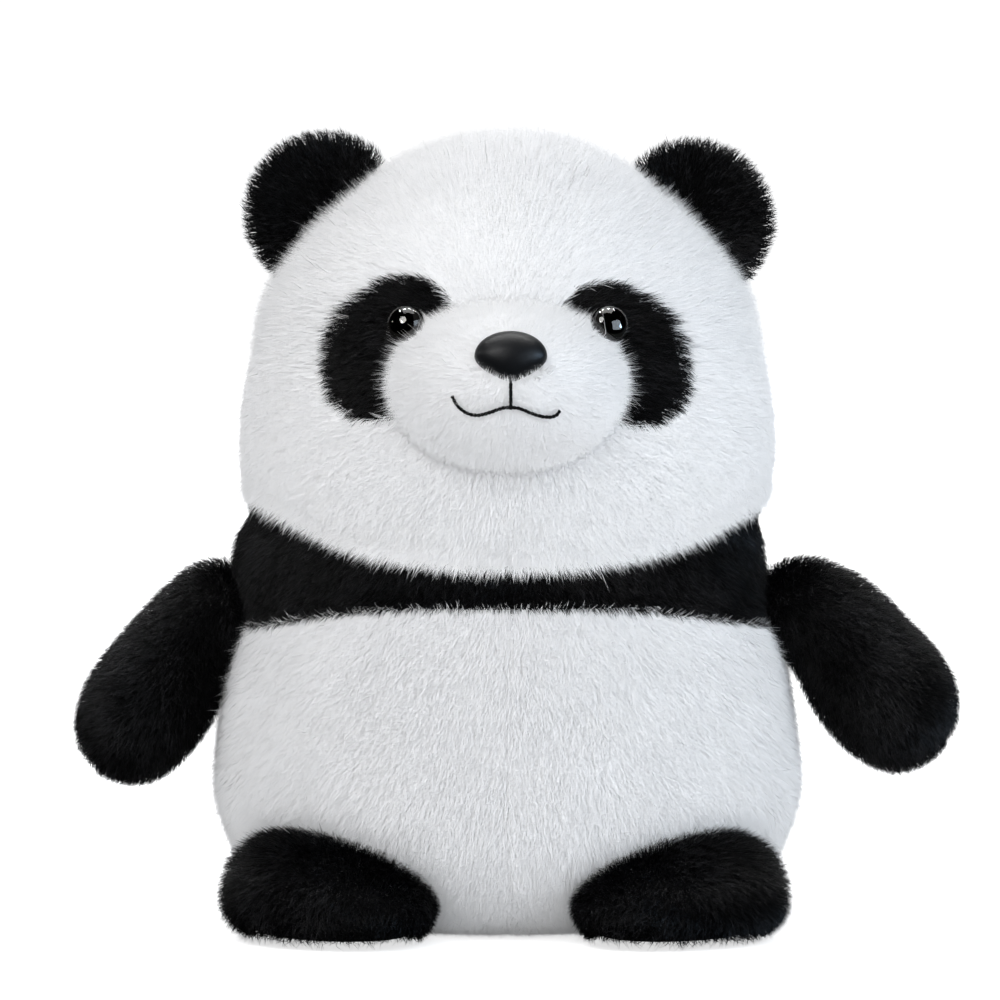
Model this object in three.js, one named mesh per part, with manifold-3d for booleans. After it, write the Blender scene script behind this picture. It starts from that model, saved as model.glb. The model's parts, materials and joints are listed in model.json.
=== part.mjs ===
// A plush panda toy that stands on a flat base, modelled as the sewn and stuffed assembly it is.
// Millimetres, +Z up, the face looks along -Y, and the toy's own left is +X.
// The origin is on the resting plane, below the middle of the body.
//
// The head and the body are one egg-shaped cover of pile fabric, cut into panels that meet at seams.
// Ears, arms and feet are separate stuffed pieces sewn on. Eyes and nose are plastic, each with a
// stem that goes through the cover and a locking washer behind it.

import * as THREE from "three";
import { mergeVertices } from "three/addons/utils/BufferGeometryUtils.js";
import Module from "manifold-3d";

// ---- driving dimensions ----------------------------------------------------------------------
const PILE = 6; // thickness of the cover fabric, its backing and its laid pile together
const GAP = 0.35; // clearance between neighbouring pieces
const SEAM_HALF = GAP / 2;
const AROUND = 24; // segments round the body
const UP = 12; // and from its base to its crown
const FAR = 300; // beyond every surface of the toy

// half width of the cover at each height, from the edge of the base to the crown
const BASE_RADIUS = 50;
const COVER_PROFILE = [
  [BASE_RADIUS, 0],
  [70, 5],
  [83.5, 16],
  [91, 32],
  [92.5, 48],
  [89.5, 74],
  [84.5, 100],
  [80.8, 122],
  [80.2, 130],
  [83.4, 143],
  [84.6, 155],
  [82.8, 174],
  [76.5, 195],
  [65.5, 214],
  [50, 231],
  [32, 242.5],
  [14, 248.6],
  [0, 249.8],
];
const DEPTH_FRONT = 0.88; // depth over width, ahead of the side seams
const DEPTH_BACK = 0.84; // and behind them
const BASE_SETBACK = 16; // how far the base sits behind the middle of the belly
const SETBACK_HEIGHT = 34; // height at which that setback has faded out

const NECK = { front: 121.5, side: 136, back: 134 }; // seam under the head
const BAND = { front: 109, side: 97, back: 97 }; // seam under the black chest band
const SIDE_X = 84; // half width at which the seams reach their side heights

const EYE = { x: 31.6, z: 197, r: 6, dome: 4.6, stem: 1.6, length: 14 };
const PATCH = { x: 38.5, z: 188.7, long: 27, short: 18.5, lean: 33 }; // lean: degrees from upright
const MUZZLE = { y: -62, z: 177.2, half: [36.5, 35, 26.8], skin: 3 };
const NOSE = { z: 190.1, half: [11.6, 6.5, 8.2], taper: 0.42, stem: 2.4, length: 13 };
const MOUTH = { thread: 0.8, lift: 1.3, top: 181.6, drop: 174.4, end: [17.4, 177.3], low: [10, 171.6] };
const WASHER = { r: 5.5, thick: 1.4 };

const EAR = { x: 59.2, y: 4, z: 226.2, r: 24.5, half: 6.5, skin: 3, rise: 38.8 };
const ARM = {
  pivot: [92, 0, 102],
  root: 11,
  socket: 12.8, // radius of the pocket that the root turns in
  hang: { left: 49, right: 38 }, // degrees away from straight down
  flat: 0.94, // depth over width
  skin: 4,
};
// half width of the arm at each distance from the shoulder
const ARM_PROFILE = [
  [11, 0],
  [11.6, 12],
  [14.6, 21],
  [17.2, 31],
  [17.8, 45],
  [14.8, 56],
  [8.2, 63.5],
  [0, 66],
];
const FOOT = {
  reach: 80, // distance of its middle from the toy's axis
  turn: 44, // degrees that the toe points outwards
  half: [36, 27, 20],
  middle: 13, // height of the ellipsoid's middle above the sole
  skin: 4,
  hinge: 62, // distance of the sewn edge from the toy's axis
  hingeZ: 13,
  lift: 12, // degrees the toe can be pushed up
};
const SEAM = { ring: 6.2, thread: 0.35 }; // thread that holds an arm on: radius of its ring and of itself

// hand-sewn opening in the back seam: its ends, half width, and the thread's depth, sway and radius
const CLOSING = { from: 26, to: 70, half: 1.7, sink: 2.6, sway: 0.7, thread: 0.6, stitches: 8 };

const LEFT = 1;
const RIGHT = -1;
const SIDES = [
  ["left", LEFT],
  ["right", RIGHT],
];
const rad = THREE.MathUtils.degToRad;

// ---- materials -------------------------------------------------------------------------------
const cloth = (color) => new THREE.MeshStandardMaterial({ color, roughness: 0.95, metalness: 0 });
const plastic = (color, roughness) => new THREE.MeshStandardMaterial({ color, roughness, metalness: 0 });
const MATERIAL = {
  whitePlush: cloth(0xeff0f2),
  blackPlush: cloth(0x0b0b0c),
  stuffing: cloth(0xf7f7f5),
  blackThread: cloth(0x141414),
  whiteThread: cloth(0xeeeeee),
  nose: plastic(0x17181b, 0.45),
  pupil: plastic(0x050506, 0.1),
  washer: plastic(0xdfe0e2, 0.5),
  lens: new THREE.MeshStandardMaterial({
    color: 0xffffff,
    roughness: 0.03,
    metalness: 0,
    transparent: true,
    opacity: 0.35,
  }),
};

// ---- solids ----------------------------------------------------------------------------------
const wasm = await Module();
wasm.setup();

function solid(geometry) {
  const bare = geometry.index ? geometry.toNonIndexed() : geometry.clone();
  bare.deleteAttribute("normal");
  bare.deleteAttribute("uv");
  const merged = mergeVertices(bare, 1e-3);
  return new wasm.Manifold(
    new wasm.Mesh({
      numProp: 3,
      vertProperties: merged.attributes.position.array,
      triVerts: new Uint32Array(merged.index.array),
    }),
  );
}

function geometryOf(manifold) {
  const mesh = manifold.getMesh();
  const positions = new Float32Array(mesh.numVert * 3);
  for (let i = 0; i < mesh.numVert; i++) {
    positions.set(mesh.vertProperties.subarray(i * mesh.numProp, i * mesh.numProp + 3), i * 3);
  }
  return new THREE.BufferGeometry()
    .setAttribute("position", new THREE.BufferAttribute(positions, 3))
    .setIndex(new THREE.BufferAttribute(mesh.triVerts, 1));
}

// Keeps the largest connected piece, so that no sliver is left where two cuts cross.
function largest(manifold) {
  return manifold.decompose().sort((a, b) => b.volume() - a.volume())[0];
}

// A solid of revolution about +Z from [radius, height] points that start and end on the axis.
function turned(points, segments) {
  const profile = points.map(([r, z]) => new THREE.Vector2(Math.max(r, 0), z));
  return new THREE.LatheGeometry(profile, segments).rotateX(Math.PI / 2);
}

// A prism with its outline in the XZ plane, filling yFrom to yTo.
function slab(outline, yFrom, yTo) {
  const shape = new THREE.Shape(outline.map(([x, z]) => new THREE.Vector2(x, z)));
  const prism = new THREE.ExtrudeGeometry(shape, { depth: yTo - yFrom, bevelEnabled: false });
  return solid(prism.rotateX(Math.PI / 2).translate(0, yTo, 0));
}

function box(x, y, z) {
  const shape = new THREE.BoxGeometry(x[1] - x[0], y[1] - y[0], z[1] - z[0]);
  return solid(shape.translate((x[0] + x[1]) / 2, (y[0] + y[1]) / 2, (z[0] + z[1]) / 2));
}

function ellipsoid(half, segments) {
  return new THREE.SphereGeometry(1, segments, Math.round(segments * 0.6))
    .rotateX(Math.PI / 2)
    .scale(...half);
}

// A round bar along +Z from zFrom to zTo.
function bar(r, zFrom, zTo, segments = 12) {
  return new THREE.CylinderGeometry(r, r, zTo - zFrom, segments)
    .rotateX(Math.PI / 2)
    .translate(0, 0, (zFrom + zTo) / 2);
}

// A thread along a smooth curve through points.
function thread(points, r, steps) {
  const path = new THREE.CatmullRomCurve3(points.map((p) => new THREE.Vector3(...p)));
  const round = new THREE.Shape().absarc(0, 0, r, 0, 2 * Math.PI);
  return solid(
    new THREE.ExtrudeGeometry(round, { extrudePath: path, steps, curveSegments: 3, bevelEnabled: false }),
  );
}

// A local frame whose +Z is `out` and whose +X lies level where it can.
function facing(out, at) {
  const z = out.clone().normalize();
  const up = new THREE.Vector3(0, 0, 1);
  const x = new THREE.Vector3().crossVectors(up, z).normalize();
  const y = new THREE.Vector3().crossVectors(z, x);
  return new THREE.Matrix4().makeBasis(x, y, z).setPosition(at);
}

// ---- the egg-shaped cover ----------------------------------------------------------------------
const coverCurve = new THREE.SplineCurve(COVER_PROFILE.map(([r, z]) => new THREE.Vector2(r, z)));

// The share of the base's setback that is left at a height.
function setback(z) {
  return THREE.MathUtils.clamp(1 - z / SETBACK_HEIGHT, 0, 1) ** 2;
}

// Widths become depths, and the base moves back under the belly.
function shapeCover(geometry) {
  const p = geometry.attributes.position;
  for (let i = 0; i < p.count; i++) {
    const depth = p.getY(i) < 0 ? DEPTH_FRONT : DEPTH_BACK;
    p.setY(i, p.getY(i) * depth + BASE_SETBACK * setback(p.getZ(i)));
  }
  return geometry;
}

// The cover's half width at a height.
function coverWidth(z) {
  let low = 0;
  let high = 1;
  for (let i = 0; i < 40; i++) {
    const mid = (low + high) / 2;
    if (coverCurve.getPoint(mid).y < z) low = mid;
    else high = mid;
  }
  return coverCurve.getPoint(low).x;
}

// The cover's outer shape, moved inwards by `inset`.
function coverSolid(inset) {
  const points = [[0, inset]];
  for (let i = 0; i <= UP; i++) {
    const at = coverCurve.getPoint(i / UP);
    const along = coverCurve.getTangent(i / UP);
    points.push([at.x - inset * along.y, Math.max(at.y + inset * along.x, inset)]);
  }
  points[points.length - 1] = [0, COVER_PROFILE.at(-1)[1] - inset];
  return solid(shapeCover(turned(points, AROUND)));
}

// Where the cover's outer surface is, in front at a given x and z.
function frontSurface(x, z) {
  return -DEPTH_FRONT * Math.sqrt(Math.max(coverWidth(z) ** 2 - x * x, 0));
}

const coverOuter = coverSolid(0);
const coverInner = coverSolid(PILE);
const coverShell = coverOuter.subtract(coverInner);

const neckHeight = (x) => NECK.front + (NECK.side - NECK.front) * Math.min((x / SIDE_X) ** 2, 1.2);
const bandHeight = (x) => BAND.front - (BAND.front - BAND.side) * Math.min(Math.abs(x / SIDE_X) ** 2.6, 1.2);

const ALL = [-FAR, FAR];

// The part of the cover in front of the side seams between two heights, each a function of x.
function frontRegion(low, high) {
  const steps = 14;
  const reach = 98; // past the widest point of the body
  const across = Array.from({ length: steps + 1 }, (_, i) => -reach + (2 * reach * i) / steps);
  const outline = [...across.map((x) => [x, low(x)]), ...across.reverse().map((x) => [x, high(x)])];
  return coverShell.intersect(slab(outline, -FAR, -SEAM_HALF));
}

// The part of the cover behind the side seams between two heights.
function backRegion(low, high) {
  return coverShell.intersect(box(ALL, [SEAM_HALF, FAR], [low, high]));
}

// One side of a piece that has a seam down its middle.
function halfOf(manifold, side) {
  return manifold.intersect(box(side > 0 ? [SEAM_HALF, FAR] : [-FAR, -SEAM_HALF], ALL, ALL));
}

// ---- pockets in the cover for the pieces sewn to it ---------------------------------------------
function earFrame(side) {
  const rise = rad(EAR.rise);
  const out = new THREE.Vector3(side * Math.cos(rise), 0, Math.sin(rise));
  const chord = new THREE.Vector3(-side * Math.sin(rise), 0, Math.cos(rise));
  const across = new THREE.Vector3().crossVectors(out, chord);
  return new THREE.Matrix4().makeBasis(chord, across, out).setPosition(side * EAR.x, EAR.y, EAR.z);
}

function earPocket(side) {
  const grow = 2;
  return solid(
    ellipsoid([EAR.r + grow, EAR.half + grow, EAR.half + grow], 14).applyMatrix4(earFrame(side)),
  );
}

function shoulderPocket(side) {
  const [x, y, z] = ARM.pivot;
  return solid(new THREE.SphereGeometry(ARM.socket, 16, 10).translate(side * x, y, z));
}

const pockets = SIDES.map(([, side]) => earPocket(side).add(shoulderPocket(side))).reduce((a, b) => a.add(b));

// ---- eyes --------------------------------------------------------------------------------------
function eyeFrame(side) {
  const y = frontSurface(EYE.x, EYE.z);
  const out = new THREE.Vector3(side * 0.42, -1, 0.42);
  return facing(out, new THREE.Vector3(side * EYE.x, y, EYE.z));
}

// An eye stands on the pile, `seat` ahead of the cover's surface.
const EYE_SEAT = 1.2;
const eyeParts = (side) => {
  const place = (geometry) => solid(geometry.applyMatrix4(eyeFrame(side)));
  const disc = [
    [0, -EYE.length],
    [EYE.stem, -EYE.length],
    [EYE.stem, EYE_SEAT],
    [EYE.r, EYE_SEAT],
    [EYE.r, EYE_SEAT + 1],
    [0, EYE_SEAT + 1],
  ];
  const domeBase = EYE_SEAT + 1 + 0.1;
  const dome = [[0, domeBase]];
  const domeSteps = 4;
  for (let i = 0; i <= domeSteps; i++) {
    const a = (Math.PI / 2) * (i / domeSteps);
    dome.push([EYE.r * Math.cos(a), domeBase + EYE.dome * Math.sin(a)]);
  }
  const washerTop = -PILE - 2;
  const hole = solid(bar(EYE.stem + GAP, washerTop - 0.1 - WASHER.thick, 1).applyMatrix4(eyeFrame(side)));
  return {
    pupil: place(turned(disc, 16)),
    lens: place(turned(dome, 16)),
    washer: place(bar(WASHER.r, washerTop - WASHER.thick, washerTop)).subtract(hole),
    stemHole: place(bar(EYE.stem + GAP, -EYE.length - 1, 1)),
    room: place(bar(EYE.r + 0.6, EYE_SEAT - 0.3, EYE_SEAT + 9)),
    pocket: place(bar(WASHER.r + GAP, -EYE.length - GAP, washerTop + GAP)),
  };
};
const eyes = { left: eyeParts(LEFT), right: eyeParts(RIGHT) };

// ---- eye patches ----------------------------------------------------------------------------------
function patchCutter(side, grow) {
  const lean = rad(PATCH.lean);
  const points = [];
  const steps = 20;
  for (let i = 0; i < steps; i++) {
    const a = (2 * Math.PI * i) / steps;
    const along = (PATCH.long + grow) * Math.cos(a);
    const across = (PATCH.short + grow) * Math.sin(a);
    points.push([
      side * (PATCH.x - along * Math.sin(lean) + across * Math.cos(lean)),
      PATCH.z + along * Math.cos(lean) + across * Math.sin(lean),
    ]);
  }
  return slab(side > 0 ? points.reverse() : points, -FAR, -20);
}

// ---- muzzle and nose ---------------------------------------------------------------------------------
function muzzleSolid(grow) {
  const half = MUZZLE.half.map((h) => h + grow);
  return solid(ellipsoid(half, 18).translate(0, MUZZLE.y, MUZZLE.z));
}

function muzzleFront(x, z, lift) {
  const [a, b, c] = MUZZLE.half.map((h) => h + lift);
  return MUZZLE.y - b * Math.sqrt(1 - (x / a) ** 2 - ((z - MUZZLE.z) / c) ** 2);
}

const noseFrame = facing(
  new THREE.Vector3(0, -1, 0.45),
  new THREE.Vector3(0, muzzleFront(0, NOSE.z, 0), NOSE.z),
);

function noseCap() {
  const [a, b, c] = NOSE.half;
  const cap = ellipsoid([a, c, b], 16);
  const p = cap.attributes.position;
  for (let i = 0; i < p.count; i++) {
    const low = Math.max(-p.getY(i) / c, 0); // 1 at the lower tip
    p.setX(i, p.getX(i) * (1 - NOSE.taper * low * low));
  }
  return solid(cap.applyMatrix4(noseFrame));
}

const noseStem = (grow) => solid(bar(NOSE.stem + grow, -NOSE.length, 1).applyMatrix4(noseFrame));
const noseWasherTop = -MUZZLE.skin - 2.4;
const noseWasherBar = (grow) =>
  solid(
    bar(WASHER.r + grow, noseWasherTop - WASHER.thick - grow, noseWasherTop + grow).applyMatrix4(noseFrame),
  );

const headClear = coverSolid(-GAP);
const nose = noseCap()
  .subtract(muzzleSolid(GAP))
  .add(noseStem(0));
const muzzleCover = muzzleSolid(0)
  .subtract(muzzleSolid(-MUZZLE.skin))
  .subtract(headClear)
  .subtract(eyes.left.room)
  .subtract(eyes.right.room)
  .subtract(noseStem(GAP));
const muzzleFill = muzzleSolid(-MUZZLE.skin - GAP)
  .subtract(coverSolid(-2 * GAP))
  .subtract(noseStem(GAP))
  .subtract(noseWasherBar(GAP));

function onMuzzle(x, z) {
  return [x, muzzleFront(x, z, MOUTH.lift), z];
}

function mouthThread() {
  const corner = (side) =>
    thread(
      [
        onMuzzle(0, MOUTH.drop),
        onMuzzle(side * 4.5, MOUTH.drop - 1.4),
        onMuzzle(side * MOUTH.low[0], MOUTH.low[1]),
        onMuzzle(side * 14, MOUTH.low[1] + 2),
        onMuzzle(side * MOUTH.end[0], MOUTH.end[1]),
      ],
      MOUTH.thread,
      7,
    );
  const lip = thread(
    [onMuzzle(0, MOUTH.drop - 0.6), onMuzzle(0, MOUTH.drop + 4), onMuzzle(0, MOUTH.top)],
    MOUTH.thread,
    3,
  );
  return corner(LEFT).add(corner(RIGHT)).add(lip);
}

// ---- ears ----------------------------------------------------------------------------------------------
// A half disc that swells in the middle, with a rounded root along its sewn edge.
function earSolid(inset) {
  const r = EAR.r - inset;
  const half = EAR.half - inset;
  const blade = solid(ellipsoid([r, half, r], 14)).intersect(box(ALL, ALL, [0, FAR]));
  return blade.add(solid(ellipsoid([r, half, half], 14)));
}

function earParts(side) {
  const place = (manifold) => solid(geometryOf(manifold).applyMatrix4(earFrame(side)));
  const shell = earSolid(0).subtract(earSolid(EAR.skin));
  const front = box(ALL, side > 0 ? [SEAM_HALF, FAR] : [-FAR, -SEAM_HALF], ALL);
  const back = box(ALL, side > 0 ? [-FAR, -SEAM_HALF] : [SEAM_HALF, FAR], ALL);
  return {
    front: place(shell.intersect(front)),
    back: place(shell.intersect(back)),
    fill: place(earSolid(EAR.skin + GAP)),
  };
}

// ---- the closed opening in the back --------------------------------------------------------------
// The thread that closes the opening the toy is stuffed through, swaying from one edge to the other.
function closingThread() {
  const points = [];
  const from = CLOSING.from + 2;
  const to = CLOSING.to - 2;
  const turns = 2 * CLOSING.stitches;
  for (let i = 0; i <= turns; i++) {
    const z = from + ((to - from) * i) / turns;
    const y = DEPTH_BACK * coverWidth(z) + BASE_SETBACK * setback(z) - CLOSING.sink;
    points.push([(i % 2 ? 1 : -1) * CLOSING.sway, y, z]);
  }
  return thread(points, CLOSING.thread, turns);
}

// ---- arms ------------------------------------------------------------------------------------------------
function armSolid(inset) {
  const curve = new THREE.SplineCurve(ARM_PROFILE.map(([r, s]) => new THREE.Vector2(r, s)));
  const points = [];
  const root = ARM.root - inset;
  const steps = 7;
  const rootSteps = 3;
  for (let i = 0; i < rootSteps; i++) {
    const a = (Math.PI / 2) * (i / rootSteps);
    points.push([root * Math.sin(a), -root * Math.cos(a)]);
  }
  for (let i = 0; i <= steps; i++) {
    const at = curve.getPoint(i / steps);
    const along = curve.getTangent(i / steps);
    points.push([at.x - inset * along.y, at.y + inset * along.x]);
  }
  points[points.length - 1] = [0, ARM_PROFILE.at(-1)[1] - inset];
  return solid(turned(points, 12).scale(1, ARM.flat, 1));
}

function armFrame(side, hang) {
  const down = Math.PI - rad(hang);
  return new THREE.Matrix4()
    .makeTranslation(side * ARM.pivot[0], ARM.pivot[1], ARM.pivot[2])
    .multiply(new THREE.Matrix4().makeRotationY(side * down));
}

function armParts(side, hang) {
  const place = (manifold) => solid(geometryOf(manifold).applyMatrix4(armFrame(side, hang)));
  const shell = armSolid(0).subtract(armSolid(ARM.skin));
  return {
    front: place(shell.intersect(box(ALL, [-FAR, -SEAM_HALF], ALL))),
    back: place(shell.intersect(box(ALL, [SEAM_HALF, FAR], ALL))),
    fill: place(armSolid(ARM.skin + GAP)),
  };
}

// The ring of thread that holds the arm, in the pocket between its root and the body.
function shoulderRing(side) {
  const [x, y, z] = ARM.pivot;
  const fromPivot = (ARM.root + ARM.socket) / 2;
  const depth = Math.sqrt(fromPivot ** 2 - SEAM.ring ** 2);
  const ring = new THREE.TorusGeometry(SEAM.ring, SEAM.thread, 4, 12).rotateY(Math.PI / 2);
  return solid(ring.translate(side * (x - depth), y, z));
}

// ---- feet -------------------------------------------------------------------------------------------------
function footFrame(side) {
  const turn = rad(FOOT.turn) * side;
  return new THREE.Matrix4()
    .makeRotationZ(turn)
    .setPosition(FOOT.reach * Math.sin(turn), -FOOT.reach * Math.cos(turn), 0);
}

function footSolid(inset) {
  const half = FOOT.half.map((h) => h - inset);
  return solid(ellipsoid(half, 16).translate(0, 0, FOOT.middle)).intersect(
    box(ALL, ALL, [inset, FAR]),
  );
}

// The room that the body takes as the foot tilts up and down about its sewn edge.
function bodyRoom(side) {
  const turn = rad(FOOT.turn) * side;
  const at = new THREE.Vector3(FOOT.hinge * Math.sin(turn), -FOOT.hinge * Math.cos(turn), FOOT.hingeZ);
  const axis = new THREE.Vector3(Math.cos(turn), Math.sin(turn), 0);
  const body = geometryOf(coverSolid(-1.2));
  const tilted = (degrees) => {
    const spin = new THREE.Matrix4()
      .makeTranslation(at.x, at.y, at.z)
      .multiply(new THREE.Matrix4().makeRotationAxis(axis, rad(degrees)))
      .multiply(new THREE.Matrix4().makeTranslation(-at.x, -at.y, -at.z));
    return solid(body.clone().applyMatrix4(spin));
  };
  return tilted(0).add(tilted(FOOT.lift / 2)).add(tilted(FOOT.lift));
}

function footParts(side) {
  const place = (manifold) => solid(geometryOf(manifold).applyMatrix4(footFrame(side)));
  const room = bodyRoom(side);
  const shell = footSolid(0).subtract(footSolid(FOOT.skin));
  const sole = box(ALL, ALL, [-1, FOOT.skin + 0.5]);
  const upper = box(ALL, ALL, [FOOT.skin + 0.5 + GAP, FAR]);
  const fill = footSolid(FOOT.skin + GAP).intersect(
    box(ALL, ALL, [FOOT.skin + 0.5 + GAP, FAR]),
  );
  const solePlate = footSolid(0).intersect(sole);
  return {
    upper: largest(place(shell.intersect(upper)).subtract(room)),
    sole: largest(place(solePlate).subtract(room)),
    fill: largest(place(fill).subtract(room)),
  };
}

// ---- the assembly ---------------------------------------------------------------------------
const toy = new THREE.Group();

function add(name, manifold, material, parent = toy) {
  const mesh = new THREE.Mesh(geometryOf(manifold), material.clone());
  mesh.name = name;
  parent.add(mesh);
}

// The round panel under the body, and the hole for it.
function basePlate(r, zFrom, zTo) {
  const plate = bar(r, zFrom, zTo, AROUND).scale(1, DEPTH_FRONT, 1);
  return solid(plate.translate(0, BASE_SETBACK, 0));
}
const baseHole = basePlate(BASE_RADIUS, -1, PILE + 1);
const basePanel = basePlate(BASE_RADIUS - GAP, 0, PILE - GAP);

const eyeHoles = [eyes.left, eyes.right].map((e) => e.stemHole).reduce((a, b) => a.add(b));
const CROWN = COVER_PROFILE.at(-1)[1] + 10;

for (const [name, side] of SIDES) {
  const patch = coverShell.intersect(patchCutter(side, 0)).subtract(eyeHoles).subtract(eyes[name].room);
  const face = halfOf(frontRegion((x) => neckHeight(x) + SEAM_HALF, () => CROWN), side)
    .subtract(patchCutter(side, GAP))
    .subtract(pockets)
    .subtract(noseStem(GAP));
  const headBack = halfOf(backRegion(NECK.back + SEAM_HALF, CROWN), side).subtract(pockets);
  const belly = halfOf(frontRegion(() => -5, (x) => bandHeight(x) - SEAM_HALF), side)
    .subtract(baseHole)
    .subtract(pockets);
  const slot = box([-CLOSING.half, CLOSING.half], [0, FAR], [CLOSING.from, CLOSING.to]);
  const back = halfOf(backRegion(-5, BAND.back - SEAM_HALF), side)
    .subtract(baseHole)
    .subtract(pockets)
    .subtract(slot);
  add(`${name}_face_panel`, largest(face), MATERIAL.whitePlush);
  add(`${name}_eye_patch`, largest(patch), MATERIAL.blackPlush);
  add(`${name}_head_back_panel`, largest(headBack), MATERIAL.whitePlush);
  add(`${name}_belly_panel`, largest(belly), MATERIAL.whitePlush);
  add(`${name}_back_panel`, largest(back), MATERIAL.whitePlush);
  add(`${name}_eye_pupil`, eyes[name].pupil, MATERIAL.pupil);
  add(`${name}_eye_lens`, eyes[name].lens, MATERIAL.lens);
  add(`${name}_eye_washer`, eyes[name].washer, MATERIAL.washer);

  const ear = earParts(side);
  add(`${name}_ear_front`, ear.front, MATERIAL.blackPlush);
  add(`${name}_ear_back`, ear.back, MATERIAL.blackPlush);
  add(`${name}_ear_padding`, ear.fill, MATERIAL.stuffing);

  const arm = armParts(side, ARM.hang[name]);
  add(`${name}_arm_front`, arm.front, MATERIAL.blackPlush);
  add(`${name}_arm_back`, arm.back, MATERIAL.blackPlush);
  add(`${name}_arm_stuffing`, arm.fill, MATERIAL.stuffing);
  add(`${name}_shoulder_seam`, shoulderRing(side), MATERIAL.blackThread);

  const foot = footParts(side);
  add(`${name}_foot_upper`, foot.upper, MATERIAL.blackPlush);
  add(`${name}_foot_sole`, foot.sole, MATERIAL.blackPlush);
  add(`${name}_foot_stuffing`, foot.fill, MATERIAL.stuffing);
}

const bandFront = frontRegion(
  (x) => bandHeight(x) + SEAM_HALF,
  (x) => neckHeight(x) - SEAM_HALF,
).subtract(pockets);
const bandBack = backRegion(BAND.back + SEAM_HALF, NECK.back - SEAM_HALF).subtract(pockets);
add("chest_band", largest(bandFront), MATERIAL.blackPlush);
add("shoulder_band", largest(bandBack), MATERIAL.blackPlush);
add("base_panel", basePanel, MATERIAL.whitePlush);
add("closing_seam_thread", closingThread(), MATERIAL.whiteThread);

add("muzzle_cover", largest(muzzleCover), MATERIAL.whitePlush);
add("muzzle_stuffing", largest(muzzleFill), MATERIAL.stuffing);
add("nose", largest(nose), MATERIAL.nose);
add("nose_washer", noseWasherBar(0).subtract(noseStem(GAP)), MATERIAL.washer);
add("mouth_embroidery", mouthThread(), MATERIAL.blackThread);

const stuffingSplit = 128;
const filling = coverSolid(PILE + GAP)
  .subtract(pockets)
  .subtract(eyes.left.pocket)
  .subtract(eyes.right.pocket)
  .subtract(eyeHoles)
  .subtract(noseStem(GAP));
add(
  "head_stuffing",
  largest(filling.intersect(box(ALL, ALL, [stuffingSplit + SEAM_HALF, CROWN]))),
  MATERIAL.stuffing,
);
add(
  "body_stuffing",
  largest(filling.intersect(box(ALL, ALL, [-1, stuffingSplit - SEAM_HALF]))),
  MATERIAL.stuffing,
);

export default toy;
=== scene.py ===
import itertools
import json
import math

import bpy
import numpy as np
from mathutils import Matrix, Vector


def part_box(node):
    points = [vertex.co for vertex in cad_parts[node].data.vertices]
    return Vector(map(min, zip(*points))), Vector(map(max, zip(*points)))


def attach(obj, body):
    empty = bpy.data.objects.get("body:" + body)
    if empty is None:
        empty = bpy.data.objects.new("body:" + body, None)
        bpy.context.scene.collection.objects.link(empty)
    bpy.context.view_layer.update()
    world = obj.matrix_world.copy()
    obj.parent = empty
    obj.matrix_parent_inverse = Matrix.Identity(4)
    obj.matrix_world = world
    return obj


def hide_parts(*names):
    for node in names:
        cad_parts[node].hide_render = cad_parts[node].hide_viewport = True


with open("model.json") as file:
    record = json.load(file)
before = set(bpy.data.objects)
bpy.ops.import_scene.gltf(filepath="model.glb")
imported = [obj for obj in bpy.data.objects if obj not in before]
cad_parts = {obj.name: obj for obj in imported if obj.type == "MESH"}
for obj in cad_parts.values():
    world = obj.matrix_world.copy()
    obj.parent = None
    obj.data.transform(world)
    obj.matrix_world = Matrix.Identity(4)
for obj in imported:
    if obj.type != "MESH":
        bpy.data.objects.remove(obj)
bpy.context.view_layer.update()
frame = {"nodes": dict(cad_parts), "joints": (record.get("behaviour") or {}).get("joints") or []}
NODES = frame["nodes"]
JOINTS = {j["name"]: j for j in frame["joints"]}
M = 0.001  # one millimetre

SIDES = {"left": 1, "right": -1}


# ----------------------------------------
# Small maths helpers. Points are numpy arrays of shape (n, 3), in millimetres until a mesh is made.


def unit(v):
    v = np.asarray(v, float)
    return v / np.maximum(np.linalg.norm(v, axis=-1, keepdims=True), 1e-9)


def smooth(a, b, x):
    """0 below a, 1 above b, and a smooth step between."""
    t = np.clip((x - a) / (b - a), 0, 1)
    return t * t * (3 - 2 * t)


def dot(a, b):
    return (a * b).sum(-1, keepdims=True)


def catmull_rom(points, steps):
    """A smooth curve through the points."""
    p = np.array(points, float)
    p = np.vstack([2 * p[:1] - p[1:2], p, 2 * p[-1:] - p[-2:-1]])
    out = []
    for i in range(1, len(p) - 2):
        a, b, c, d = p[i - 1 : i + 3]
        for t in np.linspace(0, 1, steps, endpoint=False):
            linear, square = (c - a) * t, (2 * a - 5 * b + 4 * c - d) * t * t
            out.append(0.5 * (2 * b + linear + square + (3 * b - a - 3 * c + d) * t**3))
    out.append(p[-2])
    return np.array(out)


def hashed(cells, seed):
    """A repeatable number from 0 to 1 for each integer cell."""
    c = cells.astype(np.int64).astype(np.uint32)
    h = c[..., 0] * np.uint32(73856093) ^ c[..., 1] * np.uint32(19349663)
    h ^= c[..., 2] * np.uint32(83492791) ^ np.uint32(seed * 2654435761 & 0xFFFFFFFF)
    for mix in (2246822507, 3266489909):
        h ^= h >> np.uint32(16)
        h *= np.uint32(mix)
    h ^= h >> np.uint32(13)
    return h.astype(float) / 4294967296.0


def noise(p, size, seed):
    """Smooth noise from -1 to 1, with features about `size` mm across."""
    base = np.floor(p / size)
    f = p / size - base
    f = f * f * (3 - 2 * f)
    total = np.zeros(len(p))
    for corner in itertools.product((0, 1), repeat=3):
        weight = np.abs(1 - np.array(corner) - f).prod(1)
        total += weight * hashed(base + np.array(corner), seed)
    return total * 2 - 1


def noise3(p, size, seed):
    return np.stack([noise(p, size, seed + k) for k in range(3)], axis=1)


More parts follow.
